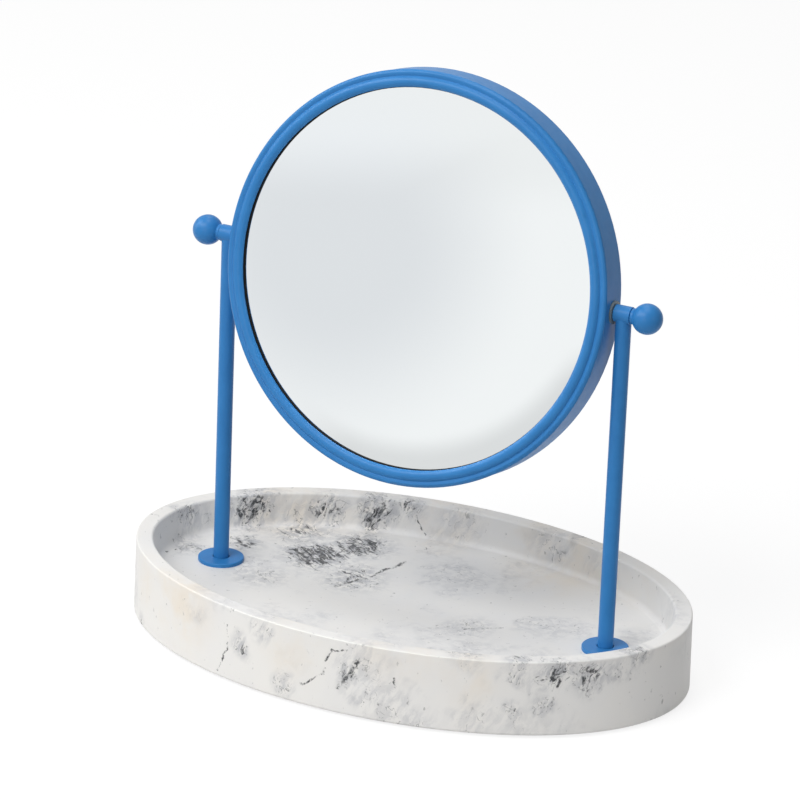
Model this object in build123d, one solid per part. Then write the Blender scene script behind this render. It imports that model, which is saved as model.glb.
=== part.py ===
from build123d import *
import os
from math import cos, radians, sin, sqrt

# A table-top vanity mirror.  A round mirror in a rolled-edge metal housing tilts
# between two slim posts, and the posts stand in an oval cast-resin tray.
# Millimetres.  +Z is up, the mirror looks towards -Y, +X is the right-hand post.
# The origin is on the table, under the middle of the tray.

# ---------------------------------------------------------------- driving sizes
# Mirror glass and its rolled front bezel
VISIBLE_DIAMETER = 152.4     # glass seen inside the bezel's lip
LIP_OVERLAP = 4.0            # how far the lip covers the glass
GLASS_THICKNESS = 3.0
BACKING_THICKNESS = 0.15     # silvering and its grey protective paint
GASKET_THICKNESS = 1.0
GASKET_PROUD = 0.25          # gasket shows inside the lip's edge
BEZEL_SHEET = 0.85
GLASS_CLEARANCE = 0.9        # glass edge to the bezel's skirt
LIP_THICKNESS = 0.8
BEAD_RISE = 1.15             # crest of the bead ahead of the lip
BEAD_CREST = 1.8             # crest outside the lip's edge
EDGE_BEAD = 2.7              # width of the small bead round the outer edge
EDGE_RISE = 0.15             # crest of the small bead ahead of the lip
EDGE_ROLL = 1.4              # its rounded outer corner
EDGE_SEAT = 0.35             # centre of that corner to the housing's rim
EDGE_OVERHANG = 0.15         # small bead proud of the housing
VALLEY_DROP = 0.35           # valley between the beads, behind the small one's crest
VALLEY_BLEND = 0.25
SKIRT_DEPTH = 2.5            # bezel skirt inside the housing

# Housing behind the glass
HOUSING_WALL = 1.0
HOUSING_DEPTH = 14.2
HOUSING_ROUND = 1.3          # rounded rear edge, outside
HOUSING_INNER_ROUND = 0.5
PIVOT_SETBACK = 8.7          # front of the lip to the pivot axis
PIVOT_RISE = 1.6             # pivot axis above the middle of the mirror
FOAM_MARGIN = 5.6            # foam pad's edge inside the housing wall
TILT = 10.33                 # degrees, the top leans back

# Pivots and ball knobs
BARREL_RADIUS = 3.5
BARREL_LENGTH = 7.0
BARREL_ROUND = 0.3
STUD_RADIUS = 2.0
NUT_RADIUS = 3.3
NUT_LENGTH = 3.6
STUD_PROUD = 1.0             # stud beyond the nut, inside the housing
PIVOT_WASHER_RADIUS = 4.55
PIVOT_WASHER_THICKNESS = 0.8
BALL_RADIUS = 6.15
COLLAR_RADIUS = 3.2
COLLAR_REACH = 6.4           # ball centre to the face of its collar
COLLAR_ROUND = 0.3
COLLAR_BLEND = 0.4
STUD_IN_BALL = 8.0

# Posts
POST_RADIUS = 3.175
MIRROR_CLEARANCE = 57.35     # tray floor to the lowest point of the mirror
FLANGE_RADIUS = 9.5
FLANGE_THICKNESS = 1.6
FLANGE_ROUND = 0.5
FLANGE_BORE_GAP = 0.35       # post to the flange's hole

# Tray
END_ROOM = 33.2              # post axis to the end of the tray
TRAY_WIDTH = 154.8
TRAY_HEIGHT = 31.4
TRAY_WALL = 7.0
TRAY_FLOOR = 17.2
OUTER_DRAFT = 0.5            # lean of the outer wall over its height
RECESS_DRAFT = 1.6           # lean of the recess wall over its depth
RIM_OUTER_ROUND = 0.6
RIM_INNER_ROUND = 1.0
FOOT_EDGE_ROUND = 1.2
RECESS_ROUND = 2.5           # wall to floor

# Foot pads and base screws
PAD_RADIUS = 5.0
PAD_THICKNESS = 1.0
PAD_ROUND = 0.3
PAD_INSET = 30.0             # pad centres inside the tray's outline
PAD_ANGLE = 45.0
SCREW_HOLE_RADIUS = 2.3
SCREW_GRIP = 10.0            # thread held in the post
SCREW_HEAD_RADIUS = 3.5
SCREW_HEAD_HEIGHT = 2.4
SCREW_HEAD_ROUND = 0.8
CROSS_LENGTH = 4.2
CROSS_WIDTH = 0.9
CROSS_DEPTH = 1.3
BASE_WASHER_RADIUS = 4.4
BASE_WASHER_THICKNESS = 0.8
COUNTERBORE_GAP = 0.4        # round the washer
HEAD_SINK = 1.6              # screw head above the underside

# Clearances
FIT = 0.05                   # bezel skirt in the housing
THREAD_FIT = 0.05            # stud in its nut, so that the knob can turn
PIVOT_FIT = 0.08             # stud in barrel, washer and housing wall
SIDE_FIT = 0.1               # along the pivot axis, either end of a barrel
TAP_EXTRA = 3.0              # tapped hole beyond the end of the base screw

# ---------------------------------------------------------------- derived sizes
# Radii of the mirror, from the glass outwards
LIP_RADIUS = VISIBLE_DIAMETER / 2
GLASS_RADIUS = LIP_RADIUS + LIP_OVERLAP
SKIRT_INNER = GLASS_RADIUS + GLASS_CLEARANCE
SKIRT_OUTER = SKIRT_INNER + BEZEL_SHEET
HOUSING_INNER = SKIRT_OUTER + FIT
HOUSING_RADIUS = HOUSING_INNER + HOUSING_WALL
BEZEL_RADIUS = HOUSING_RADIUS + EDGE_OVERHANG

# Depths in the mirror's own frame, where the pivot axis is at depth 0 and the
# front is negative
LIP_FRONT = -PIVOT_SETBACK
LIP_BACK = LIP_FRONT + LIP_THICKNESS
GLASS_FRONT = LIP_BACK + GASKET_THICKNESS
GLASS_BACK = GLASS_FRONT + GLASS_THICKNESS
PAINT_BACK = GLASS_BACK + BACKING_THICKNESS
EDGE_FRONT = LIP_FRONT - EDGE_RISE
EDGE_CENTRE = EDGE_FRONT + EDGE_ROLL
HOUSING_RIM = EDGE_CENTRE + EDGE_SEAT
HOUSING_BACK = HOUSING_RIM + HOUSING_DEPTH
HOUSING_FLOOR = HOUSING_BACK - HOUSING_WALL

# Along the pivot axis, from the housing outwards
BARREL_START = HOUSING_RADIUS + PIVOT_WASHER_THICKNESS + SIDE_FIT
BARREL_END = BARREL_START + BARREL_LENGTH
POST_X = BARREL_START + BARREL_LENGTH / 2
COLLAR_FACE = BARREL_END + SIDE_FIT
BALL_X = COLLAR_FACE + COLLAR_REACH
NUT_END = HOUSING_INNER - NUT_LENGTH
STUD_START = NUT_END - STUD_PROUD
STUD_END = COLLAR_FACE + STUD_IN_BALL
BORE_RADIUS = STUD_RADIUS + PIVOT_FIT

# Heights
TRAY_BASE = PAD_THICKNESS
TRAY_TOP = TRAY_BASE + TRAY_HEIGHT
FLOOR_TOP = TRAY_BASE + TRAY_FLOOR
PIVOT_Z = FLOOR_TOP + MIRROR_CLEARANCE + BEZEL_RADIUS + PIVOT_RISE
COUNTERBORE_DEPTH = HEAD_SINK + SCREW_HEAD_HEIGHT + BASE_WASHER_THICKNESS
WASHER_SEAT = TRAY_BASE + COUNTERBORE_DEPTH

# Half sizes of the tray's outline
TRAY_HALF_LENGTH = POST_X + END_ROOM
TRAY_HALF_WIDTH = TRAY_WIDTH / 2

SIDES = {"left": -1, "right": 1}


# ---------------------------------------------------------------------- helpers
def place_mirror(shape):
    """Put a shape from the mirror's own frame on its tilted pivot axis."""
    return Pos(0, 0, PIVOT_Z) * Rot(-TILT, 0, 0) * shape


def spin_mirror(profile):
    """Turn a (radius, depth) face round the mirror's own axis."""
    return Pos(0, 0, -PIVOT_RISE) * revolve(profile, Axis.Y)


def mirror_disc(radius, front, back):
    """A round plate in the mirror's own frame."""
    plate = Rectangle(radius, back - front, align=(Align.MIN, Align.MIN))
    return spin_mirror(Pos(0, front) * plate)


def along_x(radius, start, end):
    """A round bar on the X axis."""
    bar = Cylinder(radius, end - start, align=(Align.CENTER, Align.CENTER, Align.MIN))
    return Pos(start, 0, 0) * Rot(0, 90, 0) * bar


def upright(radius, low, high):
    """A round bar on the Z axis."""
    bar = Cylinder(radius, high - low, align=(Align.CENTER, Align.CENTER, Align.MIN))
    return Pos(0, 0, low) * bar


def to_side(shape, side):
    """Turn a shape made for the right-hand side to either side."""
    return shape if side > 0 else Rot(0, 0, 180) * shape


def ellipse_block(low, high, half_length, half_width, lean):
    """An upright oval block; lean is added to both half sizes at its top."""
    bottom = Pos(0, 0, low) * Ellipse(half_length, half_width)
    top = Pos(0, 0, high) * Ellipse(half_length + lean, half_width + lean)
    return loft([bottom, top], ruled=True)


def edges_at(shape, height):
    """The flat edges of a shape that lie at one height."""
    near = 0.001
    return shape.edges().filter_by_position(Axis.Z, height - near, height + near)


# ------------------------------------------------------------------------- tray
def make_tray():
    body = ellipse_block(TRAY_BASE, TRAY_TOP, TRAY_HALF_LENGTH, TRAY_HALF_WIDTH, -OUTER_DRAFT)
    rim_length = TRAY_HALF_LENGTH - OUTER_DRAFT - TRAY_WALL
    rim_width = TRAY_HALF_WIDTH - OUTER_DRAFT - TRAY_WALL
    recess = ellipse_block(
        FLOOR_TOP, TRAY_TOP, rim_length - RECESS_DRAFT, rim_width - RECESS_DRAFT, RECESS_DRAFT
    )
    recess = fillet(edges_at(recess, FLOOR_TOP), RECESS_ROUND)
    tray = body - recess
    tray = fillet(edges_at(tray, TRAY_TOP).sort_by(SortBy.LENGTH)[0], RIM_INNER_ROUND)
    tray = fillet(edges_at(tray, TRAY_TOP).sort_by(SortBy.LENGTH)[-1], RIM_OUTER_ROUND)
    tray = fillet(edges_at(tray, TRAY_BASE), FOOT_EDGE_ROUND)
    for side in SIDES.values():
        hole = upright(SCREW_HOLE_RADIUS, TRAY_BASE, FLOOR_TOP)
        counterbore = upright(BASE_WASHER_RADIUS + COUNTERBORE_GAP, TRAY_BASE, WASHER_SEAT)
        tray -= Pos(side * POST_X, 0, 0) * (hole + counterbore)
    return tray


def make_foot_pads():
    pad = upright(PAD_RADIUS, 0, PAD_THICKNESS)
    pad = fillet(edges_at(pad, 0), PAD_ROUND)
    reach_x = (TRAY_HALF_LENGTH - PAD_INSET) * cos(radians(PAD_ANGLE))
    reach_y = (TRAY_HALF_WIDTH - PAD_INSET) * sin(radians(PAD_ANGLE))
    return Compound(
        [Pos(i * reach_x, j * reach_y, 0) * pad for i in (-1, 1) for j in (-1, 1)]
    )


# ------------------------------------------------------------------------ posts
def make_post(side):
    post = Pos(POST_X, 0, 0) * upright(POST_RADIUS, FLOOR_TOP, PIVOT_Z)
    post -= Pos(0, 0, PIVOT_Z) * along_x(BARREL_RADIUS, BARREL_START, BARREL_END)
    tapped = upright(STUD_RADIUS, FLOOR_TOP, FLOOR_TOP + SCREW_GRIP + TAP_EXTRA)
    post -= Pos(POST_X, 0, 0) * tapped
    return to_side(post.solids().sort_by(Axis.Z)[0], side)


def make_barrel(side):
    barrel = along_x(BARREL_RADIUS, BARREL_START, BARREL_END)
    barrel = fillet(barrel.edges().filter_by(GeomType.CIRCLE), BARREL_ROUND)
    barrel -= along_x(BORE_RADIUS, BARREL_START, BARREL_END)
    return to_side(Pos(0, 0, PIVOT_Z) * barrel, side)


def make_flange(side):
    flange = upright(FLANGE_RADIUS, FLOOR_TOP, FLOOR_TOP + FLANGE_THICKNESS)
    flange = fillet(edges_at(flange, FLOOR_TOP + FLANGE_THICKNESS), FLANGE_ROUND)
    flange -= upright(POST_RADIUS + FLANGE_BORE_GAP, FLOOR_TOP, FLOOR_TOP + FLANGE_THICKNESS)
    return to_side(Pos(POST_X, 0, 0) * flange, side)


def make_base_washer(side):
    low = WASHER_SEAT - BASE_WASHER_THICKNESS
    washer = upright(BASE_WASHER_RADIUS, low, WASHER_SEAT)
    washer -= upright(SCREW_HOLE_RADIUS, low, WASHER_SEAT)
    return to_side(Pos(POST_X, 0, 0) * washer, side)


def make_base_screw(side):
    head_top = WASHER_SEAT - BASE_WASHER_THICKNESS
    head_low = head_top - SCREW_HEAD_HEIGHT
    head = upright(SCREW_HEAD_RADIUS, head_low, head_top)
    head = fillet(edges_at(head, head_low), SCREW_HEAD_ROUND)
    slot = Box(CROSS_LENGTH, CROSS_WIDTH, 2 * CROSS_DEPTH)
    head -= Pos(0, 0, head_low) * (slot + Rot(0, 0, 90) * slot)
    shank = upright(STUD_RADIUS, head_top, FLOOR_TOP + SCREW_GRIP)
    return to_side(Pos(POST_X, 0, 0) * (head + shank), side)


# ----------------------------------------------------------- pivots and knobs
def make_pivot_washer(side):
    """A soft washer whose inner face lies on the round wall of the housing."""
    washer = along_x(PIVOT_WASHER_RADIUS, HOUSING_INNER, BARREL_START - SIDE_FIT)
    washer -= mirror_disc(HOUSING_RADIUS, -2 * PIVOT_WASHER_RADIUS, 2 * PIVOT_WASHER_RADIUS)
    washer -= along_x(BORE_RADIUS, HOUSING_INNER, BARREL_START)
    return place_mirror(to_side(washer, side))


def make_pivot_nut(side):
    """A round weld nut, cut to the curve of the housing wall that it sits on."""
    nut = along_x(NUT_RADIUS, NUT_END, HOUSING_RADIUS)
    nut &= mirror_disc(HOUSING_INNER, -2 * NUT_RADIUS, 2 * NUT_RADIUS)
    nut -= along_x(STUD_RADIUS + THREAD_FIT, NUT_END, HOUSING_RADIUS)
    return place_mirror(to_side(nut, side))


def make_stud(side):
    return to_side(Pos(0, 0, PIVOT_Z) * along_x(STUD_RADIUS, STUD_START, STUD_END), side)


def make_ball_knob(side):
    collar = along_x(COLLAR_RADIUS, COLLAR_FACE, BALL_X)
    knob = Pos(BALL_X, 0, 0) * Sphere(BALL_RADIUS) + collar
    rings = knob.edges().filter_by(GeomType.CIRCLE).group_by(Axis.X)
    knob = fillet(rings[0], COLLAR_ROUND)
    joint = BALL_X - sqrt(BALL_RADIUS**2 - COLLAR_RADIUS**2)
    seam = knob.edges().filter_by_position(Axis.X, joint - COLLAR_ROUND, joint + COLLAR_ROUND)
    knob = fillet(seam, COLLAR_BLEND)
    knob -= along_x(STUD_RADIUS, COLLAR_FACE, STUD_END)
    return to_side(Pos(0, 0, PIVOT_Z) * knob, side)


# ----------------------------------------------------------------------- mirror
def make_housing():
    wall = Polyline(
        (0, HOUSING_BACK),
        (HOUSING_RADIUS, HOUSING_BACK),
        (HOUSING_RADIUS, HOUSING_RIM),
        (HOUSING_INNER, HOUSING_RIM),
        (HOUSING_INNER, HOUSING_FLOOR),
        (0, HOUSING_FLOOR),
        close=True,
    )
    section = make_face(wall)
    back_edge = [v for v in section.vertices() if v.X > HOUSING_INNER and v.Y > HOUSING_FLOOR]
    section = fillet(back_edge, HOUSING_ROUND)
    in_corner = section.vertices().sort_by_distance((HOUSING_INNER, HOUSING_FLOOR))[0]
    section = fillet(in_corner, HOUSING_INNER_ROUND)
    housing = spin_mirror(section)
    housing -= along_x(BORE_RADIUS, -2 * HOUSING_RADIUS, 2 * HOUSING_RADIUS)
    return place_mirror(housing)


def bezel_section():
    """Rolled section: lip, broad bead, valley, small outer bead and skirt."""
    crest = (LIP_RADIUS + BEAD_CREST, LIP_FRONT - BEAD_RISE)
    valley = (BEZEL_RADIUS - EDGE_BEAD, EDGE_FRONT + VALLEY_DROP)
    roll_x = BEZEL_RADIUS - EDGE_ROLL
    seat_x = roll_x + sqrt(EDGE_ROLL**2 - EDGE_SEAT**2)
    skirt_end = HOUSING_RIM + SKIRT_DEPTH
    hollow_crest = (crest[0], crest[1] + BEZEL_SHEET)
    hollow_end = (valley[0] - BEZEL_SHEET, LIP_BACK)
    outline = [
        Line((LIP_RADIUS, LIP_BACK), (LIP_RADIUS, LIP_FRONT)),
        ThreePointArc((LIP_RADIUS, LIP_FRONT), crest, valley),
        TangentArc((roll_x, EDGE_FRONT), valley, tangent=(-1, 0)),
        ThreePointArc((roll_x, EDGE_FRONT), (BEZEL_RADIUS, EDGE_CENTRE), (seat_x, HOUSING_RIM)),
        Polyline(
            (seat_x, HOUSING_RIM),
            (SKIRT_OUTER, HOUSING_RIM),
            (SKIRT_OUTER, skirt_end),
            (SKIRT_INNER, skirt_end),
            (SKIRT_INNER, LIP_BACK),
            hollow_end,
        ),
        ThreePointArc(hollow_end, hollow_crest, (LIP_RADIUS + BEZEL_SHEET, LIP_BACK)),
        Line((LIP_RADIUS + BEZEL_SHEET, LIP_BACK), (LIP_RADIUS, LIP_BACK)),
    ]
    section = make_face(Curve() + outline)
    valley_corner = section.vertices().sort_by_distance(valley)[0]
    return fillet(valley_corner, VALLEY_BLEND)


def make_bezel():
    return place_mirror(spin_mirror(bezel_section()))


def make_glass():
    return place_mirror(mirror_disc(GLASS_RADIUS, GLASS_FRONT, GLASS_BACK))


def make_backing():
    return place_mirror(mirror_disc(GLASS_RADIUS, GLASS_BACK, PAINT_BACK))


def make_gasket():
    ring = mirror_disc(GLASS_RADIUS, LIP_BACK, GLASS_FRONT)
    ring -= mirror_disc(LIP_RADIUS - GASKET_PROUD, LIP_BACK, GLASS_FRONT)
    return place_mirror(ring)


def make_foam():
    return place_mirror(mirror_disc(HOUSING_INNER - FOAM_MARGIN, PAINT_BACK, HOUSING_FLOOR))


# --------------------------------------------------------------------- assembly
def build_parts():
    parts = {
        "tray": make_tray(),
        "foot_pads": make_foot_pads(),
        "mirror_housing": make_housing(),
        "front_bezel": make_bezel(),
        "mirror_glass": make_glass(),
        "mirror_backing": make_backing(),
        "glass_gasket": make_gasket(),
        "foam_pad": make_foam(),
    }
    for name, side in SIDES.items():
        parts[f"{name}_post"] = make_post(side)
        parts[f"{name}_pivot_barrel"] = make_barrel(side)
        parts[f"{name}_post_flange"] = make_flange(side)
        parts[f"{name}_base_washer"] = make_base_washer(side)
        parts[f"{name}_base_screw"] = make_base_screw(side)
        parts[f"{name}_pivot_washer"] = make_pivot_washer(side)
        parts[f"{name}_pivot_nut"] = make_pivot_nut(side)
        parts[f"{name}_knob_stud"] = make_stud(side)
        parts[f"{name}_ball_knob"] = make_ball_knob(side)
    return parts


os.makedirs("parts", exist_ok=True)
for node, shape in build_parts().items():
    export_step(shape, f"parts/{node}.step")
print(f"post axis at x {POST_X:.2f}, pivot axis at z {PIVOT_Z:.2f}")
print(f"tray {2 * TRAY_HALF_LENGTH:.1f} x {TRAY_WIDTH:.1f}, ball centre at x {BALL_X:.2f}")
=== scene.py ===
"""Looks of a tilting vanity mirror on an oval marbled tray. Metres, +Z up, front -Y."""

import math

import bpy
from mathutils import Matrix, Vector

MM = 0.001
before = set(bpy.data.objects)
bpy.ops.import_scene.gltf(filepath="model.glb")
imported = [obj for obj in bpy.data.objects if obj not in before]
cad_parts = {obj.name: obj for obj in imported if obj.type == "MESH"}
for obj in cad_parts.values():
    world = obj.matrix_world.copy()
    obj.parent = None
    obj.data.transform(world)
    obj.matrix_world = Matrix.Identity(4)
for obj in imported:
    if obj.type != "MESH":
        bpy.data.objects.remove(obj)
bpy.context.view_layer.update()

# ------------------------------------------------------------------ camera
VIEW_AZIMUTH = math.radians(26.133)
VIEW_ELEVATION = math.radians(20.867)
VIEW_ROLL = math.radians(2.284)
VIEW_DISTANCE = 2015.23 * MM
VIEW_TARGET = (-6.28 * MM, 23.03 * MM)      # sideways and upwards in the picture
TARGET_HEIGHT = 81.97 * MM
SENSOR = 36.0
LENS = 225.93
CLIP_START = 0.05


def view_axes():
    """The viewpoint's rightward, upward and backward directions."""
    back = Vector((
        math.sin(VIEW_AZIMUTH) * math.cos(VIEW_ELEVATION),
        -math.cos(VIEW_AZIMUTH) * math.cos(VIEW_ELEVATION),
        math.sin(VIEW_ELEVATION),
    ))
    level = Vector((0, 0, 1)).cross(back).normalized()
    upright = back.cross(level)
    right = level * math.cos(VIEW_ROLL) + upright * math.sin(VIEW_ROLL)
    return right, back.cross(right), back


def view_place():
    """Where the viewpoint stands: in front on the right, a little above."""
    right, up, back = view_axes()
    target = Vector((0, 0, TARGET_HEIGHT)) + right * VIEW_TARGET[0] + up * VIEW_TARGET[1]
    return target + back * VIEW_DISTANCE


def make_camera():
    """A long lens at the photograph's viewing angle."""
    camera = bpy.data.objects.new("camera", bpy.data.cameras.new("camera"))
    camera.data.sensor_width = SENSOR
    camera.data.lens = LENS
    camera.data.clip_start = CLIP_START
    turn = Matrix(view_axes()).transposed().to_4x4()
    camera.matrix_world = Matrix.Translation(view_place()) @ turn
    bpy.context.scene.collection.objects.link(camera)
    bpy.context.scene.camera = camera


# ------------------------------------------------------------------ material nodes
class Graph:
    """A material's node tree, with short calls for the nodes used below."""

    def __init__(self, name):
        self.material = bpy.data.materials.new(name)
        self.material.use_nodes = True
        self.tree = self.material.node_tree
        self.shader = self.tree.nodes["Principled BSDF"]
        self.place = self.node("ShaderNodeTexCoord").outputs["Object"]

    def node(self, kind, **settings):
        """Add a node and set its properties."""
        made = self.tree.nodes.new(kind)
        for key, value in settings.items():
            setattr(made, key, value)
        return made

    def feed(self, socket, value):
        """A number, a tuple or another node's output, into a socket."""
        if isinstance(value, bpy.types.NodeSocket):
            self.tree.links.new(value, socket)
        else:
            socket.default_value = value

    def math(self, operation, first, second=0.0, clamp=False):
        """One step of arithmetic."""
        made = self.node("ShaderNodeMath", operation=operation, use_clamp=clamp)
        self.feed(made.inputs[0], first)
        self.feed(made.inputs[1], second)
        return made.outputs[0]

    def vector(self, operation, first, second=(0, 0, 0), scale=1.0):
        """One step of vector arithmetic, whose result may be a number."""
        made = self.node("ShaderNodeVectorMath", operation=operation)
        self.feed(made.inputs[0], first)
        if operation == "SCALE":
            self.feed(made.inputs["Scale"], scale)
        else:
            self.feed(made.inputs[1], second)
        measured = operation in ("LENGTH", "DISTANCE", "DOT_PRODUCT")
        return made.outputs["Value" if measured else "Vector"]

    def noise(self, place, scale, detail, rough=0.55, distort=0.0, output="Fac"):
        """A cloud-like pattern with values round 0.5."""
        made = self.node("ShaderNodeTexNoise")
        self.feed(made.inputs["Vector"], place)
        made.inputs["Scale"].default_value = scale
        made.inputs["Detail"].default_value = detail
        made.inputs["Roughness"].default_value = rough
        made.inputs["Distortion"].default_value = distort
        return made.outputs[output]

    def warp(self, place, scale, amount):
        """Push the coordinates about by a coloured noise."""
        pushed = self.noise(place, scale, detail=3.0, output="Color")
        centred = self.vector("SUBTRACT", pushed, (0.5, 0.5, 0.5))
        return self.vector("ADD", place, self.vector("SCALE", centred, scale=amount))

    def stretch(self, place, scale, turn=(0, 0, 0)):
        """Scale the coordinates along the axes, then turn them."""
        made = self.node("ShaderNodeMapping")
        self.feed(made.inputs["Vector"], place)
        made.inputs["Rotation"].default_value = turn
        made.inputs["Scale"].default_value = scale
        return made.outputs[0]

    def ramp(self, value, low, high, out_low=0.0, out_high=1.0):
        """A smooth step from one output to the other between low and high."""
        made = self.node("ShaderNodeMapRange", interpolation_type="SMOOTHSTEP")
        self.feed(made.inputs["Value"], value)
        self.feed(made.inputs["From Min"], low)
        self.feed(made.inputs["From Max"], high)
        made.inputs["To Min"].default_value = out_low
        made.inputs["To Max"].default_value = out_high
        return made.outputs["Result"]

    def mix(self, factor, first, second):
        """Blend two colours."""
        made = self.node("ShaderNodeMix", data_type="RGBA")
        self.feed(made.inputs["Factor"], factor)
        for slot, value in ((6, first), (7, second)):
            if isinstance(value, tuple):
                value = (*value, 1.0)
            self.feed(made.inputs[slot], value)
        return made.outputs[2]

    def bump(self, height, distance, strength, normal=None):
        made = self.node("ShaderNodeBump")
        self.feed(made.inputs["Height"], height)
        made.inputs["Distance"].default_value = distance
        made.inputs["Strength"].default_value = strength
        if normal is not None:
            self.feed(made.inputs["Normal"], normal)
        return made.outputs["Normal"]

    def most(self, values):
        """The largest of several outputs."""
        best = values[0]
        for value in values[1:]:
            best = self.math("MAXIMUM", best, value)
        return best

    def set(self, **values):
        """Fill the shader's sockets; an underscore in a name stands for a space."""
        for key, value in values.items():
            self.feed(self.shader.inputs[key.replace("_", " ")], value)
        return self.material

    def surface(self, output):
        """Take another shader than the one the material came with."""
        self.tree.nodes.remove(self.shader)
        self.feed(self.tree.nodes["Material Output"].inputs["Surface"], output)
        return self.material


# ------------------------------------------------------------------ painted metal
BLUE = (0.0340, 0.210, 0.520)
BLUE_DEEP = (0.0305, 0.195, 0.492)
PAINT_ROUGH = (0.32, 0.40)
PAINT_SPECULAR = 0.2
NOISE_SPAN = (0.2, 0.8)              # nearly all of a noise's values lie in it
# Scales are per metre.
PAINT_MOTTLE_SCALE = 90.0
PAINT_MOTTLE_SPAN = (0.35, 0.65)
PAINT_GLOSS_SCALE = 400.0
PEEL_SCALE = 2600.0
PEEL_DEPTH = 0.020 * MM
PEEL_STRENGTH = 0.55
GRAIN_SCALE = 9000.0
GRAIN_DEPTH = 0.006 * MM
GRAIN_STRENGTH = 0.5


def blue_paint():
    """Satin powder coat: a little mottling and a fine orange-peel surface."""
    g = Graph("blue_powder_coat")
    mottle = g.noise(g.place, PAINT_MOTTLE_SCALE, detail=3.0)
    mottle = g.ramp(mottle, *PAINT_MOTTLE_SPAN)
    colour = g.mix(mottle, BLUE_DEEP, BLUE)
    gloss = g.noise(g.place, PAINT_GLOSS_SCALE, detail=3.0)
    rough = g.ramp(gloss, *NOISE_SPAN, *PAINT_ROUGH)
    peel = g.noise(g.place, PEEL_SCALE, detail=2.0, rough=0.5)
    normal = g.bump(peel, PEEL_DEPTH, PEEL_STRENGTH)
    grain = g.noise(g.place, GRAIN_SCALE, detail=1.0, rough=0.4)
    normal = g.bump(grain, GRAIN_DEPTH, GRAIN_STRENGTH, normal)
    return g.set(
        Base_Color=colour,
        Roughness=rough,
        Normal=normal,
        Specular_IOR_Level=PAINT_SPECULAR,
    )


# ------------------------------------------------------------------ marbled resin
# Sizes of the tray that the marbling follows, in millimetres: half its length and width
# at the outer and inner wall, and two heights.
OUTER_WALL = (120.4, 77.2)
INNER_WALL = (112.6, 69.4)
FLOOR_LEVEL = 18.2
RIM_LEVEL = 32.4


def on_wall(half_sizes, side, x, z):
    """A point on the tray's outer or inner wall; side is -1 in front and 1 behind."""
    y = side * half_sizes[1] * math.sqrt(1 - (x / half_sizes[0]) ** 2)
    return (x, y, z)


def front(x, z):
    return on_wall(OUTER_WALL, -1, x, z)


def rear(x, z):
    return on_wall(OUTER_WALL, 1, x, z)


def inside(x, z):
    return on_wall(INNER_WALL, 1, x, z)


def inside_front(x, z):
    return on_wall(INNER_WALL, -1, x, z)


def floor(x, y):
    return (x, y, FLOOR_LEVEL)


def rim(x, y):
    return (x, y, RIM_LEVEL)


# Where pigment gathered: middle, reach (mm) and strength of each cloud.
WALL_CLOUDS = (
    (inside(-94, 26), 13, 1.0),
    (inside(-67, 25), 10, 0.9),
    (inside(-48, 25), 11, 1.0),
    (inside(-35, 30), 8, 0.9),
    (inside(-12, 26), 12, 0.5),
    (inside(32, 27), 11, 0.5),
    (inside(-111, 27), 9, 0.8),
    (front(-118, 18), 7, 0.8),
    (front(-101, 4), 5, 0.7),
    (front(-39, 18), 6.5, 0.9),
    (front(-28, 27), 6, 0.65),
    (front(-17, 7), 7, 0.65),
    (front(12, 19), 6.5, 1.0),
    (front(17, 7), 5, 0.6),
    (front(77, 28), 6, 0.95),
    (front(90, 28), 9, 1.0),
    (front(101, 25), 9, 0.95),
    (front(109, 26), 7, 0.75),
    (front(85.5, 14), 5.5, 0.8),
    (front(76, 11), 5, 0.65),
    (rear(-84, 20), 10, 0.85),
    (rear(-38, 26), 9, 0.75),
    (rear(6, 12), 9, 0.9),
    (rear(58, 24), 10, 0.7),
    (rear(98, 14), 9, 0.85),
    (inside_front(-60, 25), 9, 0.7),
    (inside_front(28, 26), 9, 0.75),
    (inside_front(92, 24), 9, 0.6),
)
FLOOR_CLOUDS = (
    (floor(-103, 4), 9, 0.8),
    (floor(-88, 20), 10, 0.9),
    (floor(-72, 43), 15, 0.9),
    (floor(-56, 24), 18, 1.15),
    (floor(-45, 43), 16, 1.1),
    (floor(-31, 12), 16, 0.9),
    (floor(-66, -8), 13, 0.6),
    (floor(30, -10), 12, 0.55),
    (rim(-50, 66), 6, 0.85),
    (rim(-28, -70), 7, 0.55),
    (rim(56, -62), 9, 0.65),
    (rim(75, -55), 6, 0.85),
    (rim(110, -24), 8, 0.75),
    (rim(44, 70), 7, 0.65),
)
# Veins that can be followed by eye, as points along each.
FINE_VEINS = (
    (rim(-120, -3), rim(-116, -2), rim(-112.5, -8), (-112, -8, 26)),
    (floor(-110, -6), floor(-106, 5), floor(-99, 8)),
    (inside(-31, 27.5), inside(-27, 20), floor(-20, 54)),
    (inside(-44, 29), inside(-42, 19)),
    (floor(17, -19), floor(22, -16)),
    (floor(30, -12), floor(36, -8), floor(43, -2)),
    (front(-45, 24), front(-45, 14), front(-50, 4)),
    (front(-9, 9), front(1, 17), front(4, 28), front(10, 28)),
    (front(30, 21), front(31, 13)),
    (front(84, 24), front(93, 29)),
    (rim(48, -66), rim(56, -63)),
    (rear(-20, 31), rear(-26, 18), rear(-31, 4)),
)
BOLD_VEINS = (
    (floor(-95, 23), floor(-83, 17)),
    (floor(-34, -1), floor(-27, 14), floor(-21, 38)),
    (inside(-47, 28), inside(-50, 19)),
    (front(7, 12), front(13, 20), front(16, 25)),
)
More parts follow.
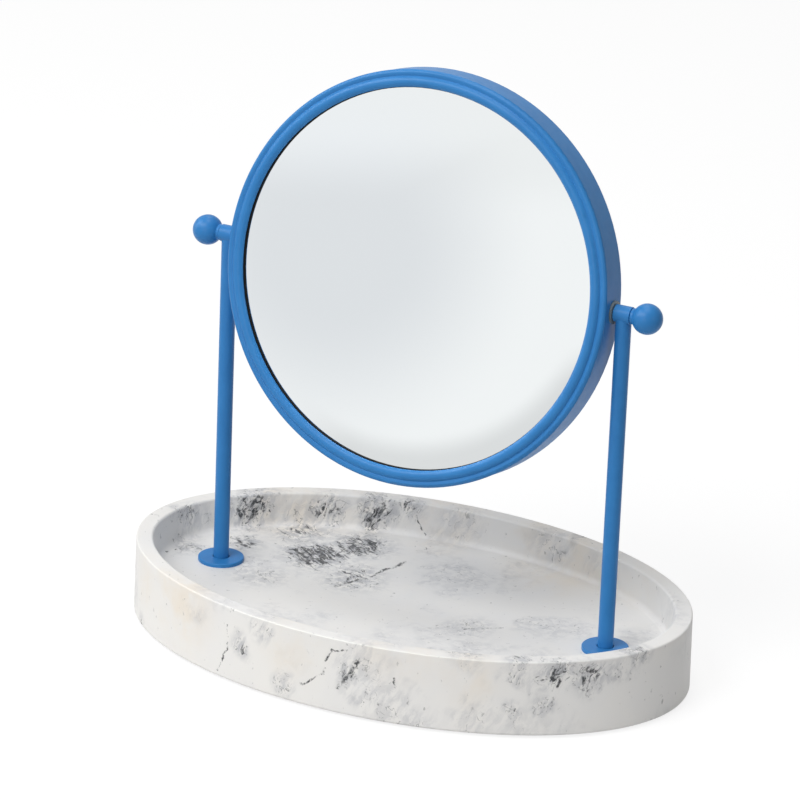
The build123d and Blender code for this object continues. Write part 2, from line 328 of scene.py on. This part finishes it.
# Cream staining: middle, reach and strength.
CREAM_STAINS = (
    (front(-72, 26), 22, 0.9),
    (front(-98, 22), 12, 0.5),
    (front(-14, 24), 15, 0.6),
    (front(60, 27), 14, 0.6),
    (rim(30, -68), 18, 0.6),
    (rear(-60, 16), 20, 0.7),
    (rear(84, 24), 16, 0.6),
    (inside(-80, 27), 22, 0.8),
    (inside(-20, 27), 22, 0.6),
    (inside(40, 27), 30, 0.8),
)
FLOOR_GRAIN = math.radians(30)       # the strokes on the tray's floor run at a slant
WALL_GRAIN = math.radians(-28)       # and so do those on its walls

RESIN = (0.815, 0.800, 0.772)
RESIN_COOL = (0.792, 0.783, 0.768)
RESIN_CREAM = (0.800, 0.725, 0.620)
SMOKE = (0.340, 0.350, 0.385)
CHARCOAL = (0.028, 0.030, 0.034)
RESIN_ROUGH = (0.42, 0.55)
RESIN_SPECULAR = 0.4

# Scales are per millimetre and widths in millimetres. A SPAN is where a ramp starts and
# ends, and a SHARE is how much of an effect shows at most.
CLOUD_PUSH = (0.07, 13.0)            # scale and reach of the noise that bends the clouds
STROKE_PUSH = (0.14, 5.0)            # the same for the strokes
VEIN_PUSH = (0.9, 1.2)               # and for the veins
CLOUD_CORE = 0.25                    # a cloud fades between these shares of its reach
CLOUD_EDGE = 1.3
STROKE_ACROSS = 0.80
STROKE_ALONG = 0.14
STROKE_SHARE = 0.65                  # of the ink's pattern; the rest is an even breakup
BREAKUP_SCALE = 0.32
BREAKUP_SHARE = 0.35
INK_LIMIT = 0.725                    # above it the pattern is ink, where there is no cloud
INK_GAIN = 0.26                      # how far a full cloud lowers that limit
INK_EDGE = 0.095
INK_SPAN = (0.34, 0.58)
INK_SHARE = (0.72, 0.97)
FAINT_SCALE = 0.035                  # weak clouds that lie anywhere
FAINT_SPAN = (0.50, 0.70)
FAINT_SHARE = 0.5
SMOKE_ACROSS = 0.34
SMOKE_ALONG = 0.09
SMOKE_SPAN = (0.36, 0.62)
SMOKE_SHARE = 0.72
FRAY_SCALE = 0.5                     # breaks up veins and threads
THREAD_SCALE = 0.11
THREAD_WIDTH = 0.014                 # in the noise's own value
THREAD_CORE = 0.2
THREAD_CLOUD_SPAN = (0.22, 0.55)
THREAD_FRAY_SPAN = (0.42, 0.56)
THREAD_SHARE = 0.55
FINE_WIDTH = (0.12, 0.6)
FINE_FRAY_SPAN = (0.38, 0.5)
BOLD_WIDTH = (0.3, 1.25)
BOLD_FRAY_SPAN = (0.36, 0.5)
FLECK_ACROSS = 0.5
FLECK_ALONG = 0.2
FLECK_SPAN = (0.66, 0.75)
FLECK_SHARE = 0.5
PATCH_SCALE = 0.028                  # warm and cool patches of the resin
PATCH_SPAN = (0.38, 0.64)
SOAK_SCALE = 0.07                    # how unevenly the cream stains soak in
SOAK_SPAN = (0.3, 0.7)
SOAK_SHARE = (0.1, 0.85)
GLOSS_SCALE = 0.6
GLOSS_SPAN = (0.25, 0.75)
SWELL_SCALE = 0.05
SWELL_DEPTH = 0.35 * MM
SWELL_STRENGTH = 0.25
PIT_SCALE = 2.2
PIT_DEPTH = 0.03 * MM
PIT_STRENGTH = 0.35
FAR_AWAY = 1000.0


def clouds(g, place, spots):
    """How much pigment the nearest cloud holds, from 0 to its strength."""
    densest = 0.0
    for middle, reach, strength in spots:
        away = g.vector("DISTANCE", place, middle)
        held = g.ramp(away, CLOUD_CORE * reach, CLOUD_EDGE * reach, strength, 0.0)
        densest = g.math("MAXIMUM", held, densest)
    return densest


def from_veins(g, place, veins):
    """Distance to the nearest of several bent lines."""
    nearest = FAR_AWAY
    for points in veins:
        for start, end in zip(points, points[1:]):
            run = Vector(end) - Vector(start)
            offset = g.vector("SUBTRACT", place, start)
            along = g.vector("DOT_PRODUCT", offset, tuple(run / run.length_squared))
            along = g.math("ADD", along, 0.0, clamp=True)
            foot = g.vector("SCALE", tuple(run), scale=along)
            nearest = g.math("MINIMUM", g.vector("DISTANCE", offset, foot), nearest)
    return nearest


def combed_ink(g, place, scale, cloud):
    """Feathered strokes that thicken where a cloud is strong."""
    strokes = g.noise(g.stretch(place, scale), 1.0, detail=5.0, rough=0.66, distort=0.5)
    breakup = g.noise(place, BREAKUP_SCALE, detail=5.0, rough=0.62)
    strokes = g.math("MULTIPLY", strokes, STROKE_SHARE)
    value = g.math("ADD", strokes, g.math("MULTIPLY", breakup, BREAKUP_SHARE))
    limit = g.math("SUBTRACT", INK_LIMIT, g.math("MULTIPLY", cloud, INK_GAIN))
    return g.ramp(value, limit, g.math("ADD", limit, INK_EDGE))


def threads(g, place):
    """Thin wandering lines where a noise crosses its middle value."""
    level = g.noise(place, THREAD_SCALE, detail=3.0, rough=0.6)
    away = g.math("ABSOLUTE", g.math("SUBTRACT", level, 0.5))
    return g.ramp(away, THREAD_CORE * THREAD_WIDTH, THREAD_WIDTH, 1.0, 0.0)


def frayed_vein(g, place, veins, width, fray, span):
    """Ink along the veins, broken up by a noise."""
    ink = g.ramp(from_veins(g, place, veins), *width, 1.0, 0.0)
    return g.math("MULTIPLY", ink, g.ramp(fray, *span))


def marble_resin():
    """Warm white cast resin with combed charcoal marbling, smoke and cream stains."""
    g = Graph("marbled_resin")
    mm = g.vector("SCALE", g.place, scale=1 / MM)
    drift = g.warp(mm, *CLOUD_PUSH)
    bent = g.warp(mm, *STROKE_PUSH)
    torn = g.warp(bent, *VEIN_PUSH)
    turned = g.stretch(bent, (1, 1, 1), turn=(0, 0, FLOOR_GRAIN))
    leaning = g.stretch(bent, (1, 1, 1), turn=(0, WALL_GRAIN, 0))

    # Where pigment gathered.
    faint = g.noise(drift, FAINT_SCALE, detail=3.0)
    faint = g.ramp(faint, *FAINT_SPAN, 0.0, FAINT_SHARE)
    wall = clouds(g, drift, WALL_CLOUDS)
    level = clouds(g, drift, FLOOR_CLOUDS)
    cloud = g.most([wall, level, faint])

    # Smoke and ink.
    wall_ink = combed_ink(g, leaning, (STROKE_ACROSS, STROKE_ACROSS, STROKE_ALONG), wall)
    level_ink = combed_ink(g, turned, (STROKE_ALONG, STROKE_ACROSS, STROKE_ACROSS), level)
    drawn_out = g.stretch(leaning, (SMOKE_ACROSS, SMOKE_ACROSS, SMOKE_ALONG))
    smoke = g.noise(drawn_out, 1.0, detail=5.0, rough=0.62)
    haze = g.math("MULTIPLY", cloud, g.ramp(smoke, *SMOKE_SPAN), clamp=True)
    fray = g.noise(mm, FRAY_SCALE, detail=3.0, rough=0.6)
    wander = g.math("MULTIPLY", threads(g, turned), g.ramp(cloud, *THREAD_CLOUD_SPAN))
    broken = g.ramp(fray, *THREAD_FRAY_SPAN, 0.0, THREAD_SHARE)
    wander = g.math("MULTIPLY", wander, broken)
    fine = frayed_vein(g, torn, FINE_VEINS, FINE_WIDTH, fray, FINE_FRAY_SPAN)
    bold = frayed_vein(g, torn, BOLD_VEINS, BOLD_WIDTH, fray, BOLD_FRAY_SPAN)
    speckled = g.stretch(torn, (FLECK_ACROSS, FLECK_ACROSS, FLECK_ALONG))
    flecks = g.noise(speckled, 1.0, detail=3.0, rough=0.6)
    flecks = g.ramp(flecks, *FLECK_SPAN, 0.0, FLECK_SHARE)
    ink = g.most([wall_ink, level_ink, wander, fine, bold, flecks])

    # Colour, from the resin up to the ink.
    patch = g.ramp(g.noise(mm, PATCH_SCALE, detail=3.0), *PATCH_SPAN)
    tone = g.mix(patch, RESIN, RESIN_COOL)
    soak = g.ramp(g.noise(drift, SOAK_SCALE, detail=4.0), *SOAK_SPAN, *SOAK_SHARE)
    stain = g.math("MULTIPLY", clouds(g, drift, CREAM_STAINS), soak)
    tone = g.mix(stain, tone, RESIN_CREAM)
    tone = g.mix(g.math("MULTIPLY", haze, SMOKE_SHARE), tone, SMOKE)
    depth = g.ramp(fray, *INK_SPAN, *INK_SHARE)
    tone = g.mix(g.math("MULTIPLY", ink, depth), tone, CHARCOAL)

    # Gloss and surface.
    gloss = g.ramp(g.noise(mm, GLOSS_SCALE, detail=3.0), *GLOSS_SPAN, *RESIN_ROUGH)
    swell = g.bump(g.noise(mm, SWELL_SCALE, detail=2.0), SWELL_DEPTH, SWELL_STRENGTH)
    pits = g.bump(g.noise(mm, PIT_SCALE, detail=3.0), PIT_DEPTH, PIT_STRENGTH, swell)
    return g.set(
        Base_Color=tone,
        Roughness=gloss,
        Normal=pits,
        Specular_IOR_Level=RESIN_SPECULAR,
    )


# ------------------------------------------------------------------ other materials
SILVER = (0.92, 0.935, 0.94, 1.0)
SILVER_ROUGH = (0.015, 0.03)
SILVER_SCALE = 60.0                  # per metre, and so is MOTTLE_SCALE
SILVER_SPAN = (0.3, 0.7)
MOTTLE_SCALE = 1500.0
MOTTLE_DARKER = 0.9
MOTTLE_ROUGH = (0.85, 1.15)          # as shares of the finish's own roughness
MOTTLE_DEPTH = 0.01 * MM
MOTTLE_STRENGTH = 0.5


def silvered_glass():
    """Mirror glass with a faint unevenness."""
    g = Graph("silvered_glass")
    rough = g.noise(g.place, SILVER_SCALE, detail=2.0)
    rough = g.ramp(rough, *SILVER_SPAN, *SILVER_ROUGH)
    return g.set(Base_Color=SILVER, Metallic=1.0, Roughness=rough)


def plain(name, colour, rough, metal=0.0, specular=0.5):
    """A moulded, coated or plated finish: fine mottling of colour, gloss and surface."""
    g = Graph(name)
    cloud = g.noise(g.place, MOTTLE_SCALE, detail=3.0)
    darker = tuple(channel * MOTTLE_DARKER for channel in colour)
    tone = g.mix(cloud, darker, colour)
    gloss = g.ramp(cloud, *NOISE_SPAN, *(rough * share for share in MOTTLE_ROUGH))
    g.set(Base_Color=tone, Roughness=gloss, Metallic=metal, Specular_IOR_Level=specular)
    return g.set(Normal=g.bump(cloud, MOTTLE_DEPTH, MOTTLE_STRENGTH))


def dress(nodes, material):
    """Give CAD nodes one material."""
    for name in nodes:
        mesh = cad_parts[name].data
        mesh.materials.clear()
        mesh.materials.append(material)


def both(*names):
    """The left and right nodes of each name."""
    return [f"{side}_{name}" for side in ("left", "right") for name in names]


def dress_all():
    """Every node of the CAD model gets its material."""
    dress(
        ["mirror_housing", "front_bezel"]
        + both("post", "pivot_barrel", "post_flange", "ball_knob"),
        blue_paint(),
    )
    dress(["tray"], marble_resin())
    dress(["mirror_glass"], silvered_glass())
    dress(["mirror_backing"], plain("mirror_back_paint", (0.09, 0.10, 0.11), rough=0.7))
    # The gasket is a real part, but its near-black colour is also painted shade: it stands
    # for the dark gap between the bezel's lip and the glass.
    dress(
        ["glass_gasket"],
        plain("black_gasket_and_gap_shade", (0.003, 0.003, 0.0035), rough=0.8, specular=0.1),
    )
    dress(["foam_pad"], plain("foam_board", (0.55, 0.55, 0.53), rough=0.9))
    dress(["foot_pads"], plain("clear_silicone", (0.60, 0.62, 0.62), rough=0.35))
    dress(both("pivot_washer"), plain("grey_nylon", (0.17, 0.21, 0.22), rough=0.4))
    dress(
        both("base_screw", "base_washer", "pivot_nut", "knob_stud"),
        plain("zinc_plate", (0.55, 0.56, 0.57), rough=0.32, metal=1.0),
    )


# ------------------------------------------------------------------ studio
WHITE_SEEN = 1.0             # what the camera and reflections see behind the object
AMBIENT = 0.21               # and how much of it lights the object

FLOOR_RADIUS = 4.0
FLOOR_SIDES = 96
FLOOR_NEAR = 0.70            # share of light the floor gives back near the object,
FLOOR_FAR = 0.20             # and far from it,
FLOOR_FADE = (0.30, 0.65)    # with a fade between these distances
FLOOR_SHADE = (0.22, 0.22, 0.22, 1)  # the part of the seen floor that takes shadows
FLOOR_GLOW = 0.82            # and the part that doesn't

MIRROR_TILT = math.radians(10.33)    # how far the mirror leans back at rest
# The card glows by itself and only reflections see it: its graded glow is a painted
# reflection in the mirror.
CARD_DISTANCE = 0.80         # from the mirror, along the view's reflection in it
CARD_SIZE = 0.62
CARD_UNIT = 0.1064           # the radius of the glass, as its reflection meets the card
CARD_COOL = (0.975, 1.0, 1.026)
CARD_WARM = (0.985, 1.0, 1.0)
WARM_GAIN = 6.0              # how soon the card turns warm as it brightens
# The card's gradient, a painted reflection. Places and fades are in CARD_UNIT from its
# middle, +X to the right.
CARD_LEVEL = 0.80
DARK_MIDDLE = (-0.405, 0.168, 0.0)
DARK_FADE = (0.32, 1.13)
DARK_RISE = 0.165            # how much brighter the card is beyond the dark middle
UPPER_FADE = (0.30, 0.60)
UPPER_SHARE = 0.70           # of that rise, in the upper part
ABOVE_FADE = (0.38, 0.80)
ABOVE_RISE = 0.125
RING_MIDDLE = (0.016, 0.037, 0.0)
RING_FADE = (0.84, 0.98)
RING_DROP = 0.195            # how much darker the card is beyond the low crescent
RING_LOW = (-0.30, -0.55)    # that drop sets in downwards
RING_RIGHT = (-0.65, -0.30)  # and to the right
CARD_END = (1.6, 2.7)        # from here on the card fades into the white studio

AIM = (0, 0, 0.12)           # where the lamps and the softbox point
LAMP_SIZE = 0.8
LAMPS = (                    # name, place and watts
    ("key", (-1.0, -1.0, 1.2), 7.8),
    ("left_low", (-1.8, -0.3, 0.5), 3.8),
    ("top", (0.0, 0.0, 1.8), 8.4),
    ("top_front", (-0.3, -1.1, 1.5), 12.6),
    ("front_fill", (0.1, -1.95, 0.6), 5.8),
    ("right_fill", (1.6, -0.5, 0.7), 2.3),
    ("back_fill", (-0.5, 0.9, 1.6), 4.0),
)
SOFTBOX_PLACE = (-1.35, -0.45, 1.25)
SOFTBOX_SIZE = 0.8
SOFTBOX_SIDES = 48
SOFTBOX_GLOW = 8.0


def seen_directly(tree):
    """1 for camera, glossy and transmission rays, 0 for the light that falls on things."""
    path = tree.nodes.new("ShaderNodeLightPath")
    value = path.outputs["Is Camera Ray"]
    for name in ("Is Glossy Ray", "Is Transmission Ray"):
        larger = tree.nodes.new("ShaderNodeMath")
        larger.operation = "MAXIMUM"
        tree.links.new(value, larger.inputs[0])
        tree.links.new(path.outputs[name], larger.inputs[1])
        value = larger.outputs[0]
    return value


def make_world():
    """A white studio all round, which gives the object only a soft part of its light."""
    world = bpy.data.worlds.new("studio")
    bpy.context.scene.world = world
    world.use_nodes = True
    tree = world.node_tree
    tree.nodes.clear()
    out = tree.nodes.new("ShaderNodeOutputWorld")
    soft = tree.nodes.new("ShaderNodeBackground")
    soft.inputs["Strength"].default_value = AMBIENT
    seen = tree.nodes.new("ShaderNodeBackground")
    seen.inputs["Strength"].default_value = WHITE_SEEN
    mix = tree.nodes.new("ShaderNodeMixShader")
    tree.links.new(seen_directly(tree), mix.inputs[0])
    tree.links.new(soft.outputs[0], mix.inputs[1])
    tree.links.new(seen.outputs[0], mix.inputs[2])
    tree.links.new(mix.outputs[0], out.inputs[0])


def make_floor():
    """A pale floor that stays white to the camera but keeps a soft shadow."""
    bpy.ops.mesh.primitive_circle_add(
        vertices=FLOOR_SIDES, radius=FLOOR_RADIUS, fill_type="NGON"
    )
    ground = bpy.context.object
    ground.name = "floor"
    g = Graph("pale_floor")
    fade = g.node("ShaderNodeMapRange")
    g.feed(fade.inputs["Value"], g.vector("LENGTH", g.place))
    g.feed(fade.inputs["From Min"], FLOOR_FADE[0])
    g.feed(fade.inputs["From Max"], FLOOR_FADE[1])
    g.feed(fade.inputs["To Min"], FLOOR_NEAR)
    g.feed(fade.inputs["To Max"], FLOOR_FAR)
    lit = g.node("ShaderNodeBsdfDiffuse")
    g.feed(lit.inputs["Color"], fade.outputs["Result"])
    shade = g.node("ShaderNodeBsdfDiffuse")
    g.feed(shade.inputs["Color"], FLOOR_SHADE)
    glow = g.node("ShaderNodeEmission")
    g.feed(glow.inputs["Strength"], FLOOR_GLOW)
    seen = g.node("ShaderNodeAddShader")
    g.feed(seen.inputs[0], shade.outputs[0])
    g.feed(seen.inputs[1], glow.outputs[0])
    mix = g.node("ShaderNodeMixShader")
    g.feed(mix.inputs[0], seen_directly(g.tree))
    g.feed(mix.inputs[1], lit.outputs[0])
    g.feed(mix.inputs[2], seen.outputs[0])
    ground.data.materials.append(g.surface(mix.outputs[0]))


def show_to_gloss_only(thing):
    """Hide a stage piece from everything but reflections."""
    for kind in ("camera", "diffuse", "transmission", "shadow", "volume_scatter"):
        setattr(thing, f"visible_{kind}", False)


def card_shade():
    """A soft glowing gradient, the mirror's painted reflection: grey on the left, bright on
    the right and in a low crescent.
    """
    g = Graph("painted_reflection_glow")
    unit = g.vector("SCALE", g.place, scale=1 / CARD_UNIT)
    split = g.node("ShaderNodeSeparateXYZ")
    g.feed(split.inputs[0], unit)
    across = split.outputs[0]
    height = split.outputs[1]

    rise = g.ramp(g.vector("DISTANCE", unit, DARK_MIDDLE), *DARK_FADE, 0.0, DARK_RISE)
    upper = g.ramp(height, *UPPER_FADE, 1.0, UPPER_SHARE)
    above = g.ramp(height, *ABOVE_FADE, 0.0, ABOVE_RISE)
    level = g.math("ADD", CARD_LEVEL, g.most([g.math("MULTIPLY", rise, upper), above]))
    ring = g.ramp(g.vector("DISTANCE", unit, RING_MIDDLE), *RING_FADE, 0.0, RING_DROP)
    low = g.math("MULTIPLY", g.ramp(height, *RING_LOW), g.ramp(across, *RING_RIGHT))
    level = g.math("SUBTRACT", level, g.math("MULTIPLY", ring, low))
    away = g.ramp(g.vector("LENGTH", unit), *CARD_END)
    level = g.math("MULTIPLY", level, g.math("SUBTRACT", 1.0, away))
    level = g.math("ADD", level, away)

    warmth = g.math("MULTIPLY", rise, WARM_GAIN, clamp=True)
    glow = g.node("ShaderNodeEmission")
    g.feed(glow.inputs["Color"], g.mix(warmth, CARD_COOL, CARD_WARM))
    g.feed(glow.inputs["Strength"], level)
    return g.surface(glow.outputs[0])


def make_card():
    """A soft glowing card that only glossy surfaces see, set where the view reflects in the
    mirror, to paint the mirror's reflection.
    """
    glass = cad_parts["mirror_glass"]
    centre = sum((Vector(corner) for corner in glass.bound_box), Vector()) / 8
    facing = Vector((0, -math.cos(MIRROR_TILT), math.sin(MIRROR_TILT)))

    def reflect(direction):
        return direction - 2 * direction.dot(facing) * facing

    right, up, _ = (reflect(axis) for axis in view_axes())
    outwards = reflect(centre - view_place()).normalized()
    bpy.ops.mesh.primitive_plane_add(size=CARD_SIZE)
    card = bpy.context.object
    card.name = "glowing_reflection_card"
    turn = Matrix((right, up, right.cross(up))).transposed().to_4x4()
    card.matrix_world = Matrix.Translation(centre + outwards * CARD_DISTANCE) @ turn
    show_to_gloss_only(card)
    card.data.materials.append(card_shade())


def facing_aim(place, axis):
    """The turn that points an axis of a lamp or a disc from its place to AIM."""
    return (Vector(AIM) - Vector(place)).to_track_quat(axis, "Y").to_euler()


def make_softbox():
    """A bright disc that only glossy surfaces see, for the soft highlights on the paint."""
    bpy.ops.mesh.primitive_circle_add(
        vertices=SOFTBOX_SIDES, radius=SOFTBOX_SIZE / 2, fill_type="NGON"
    )
    disc = bpy.context.object
    disc.name = "softbox"
    disc.location = SOFTBOX_PLACE
    disc.rotation_euler = facing_aim(SOFTBOX_PLACE, "Z")
    show_to_gloss_only(disc)
    g = Graph("softbox_glow")
    glow = g.node("ShaderNodeEmission")
    g.feed(glow.inputs["Strength"], SOFTBOX_GLOW)
    disc.data.materials.append(g.surface(glow.outputs[0]))


def make_lights():
    """Large soft lamps all round, strongest in front and above."""
    for name, place, power in LAMPS:
        lamp = bpy.data.objects.new(name, bpy.data.lights.new(name, "AREA"))
        lamp.data.shape = "DISK"
        lamp.data.size = LAMP_SIZE
        lamp.data.energy = power
        lamp.location = place
        lamp.rotation_euler = facing_aim(place, "-Z")
        lamp.visible_camera = False
        bpy.context.scene.collection.objects.link(lamp)


make_camera()
bpy.context.scene.view_settings.view_transform = "Standard"
make_world()
make_floor()
make_card()
make_lights()
make_softbox()
dress_all()
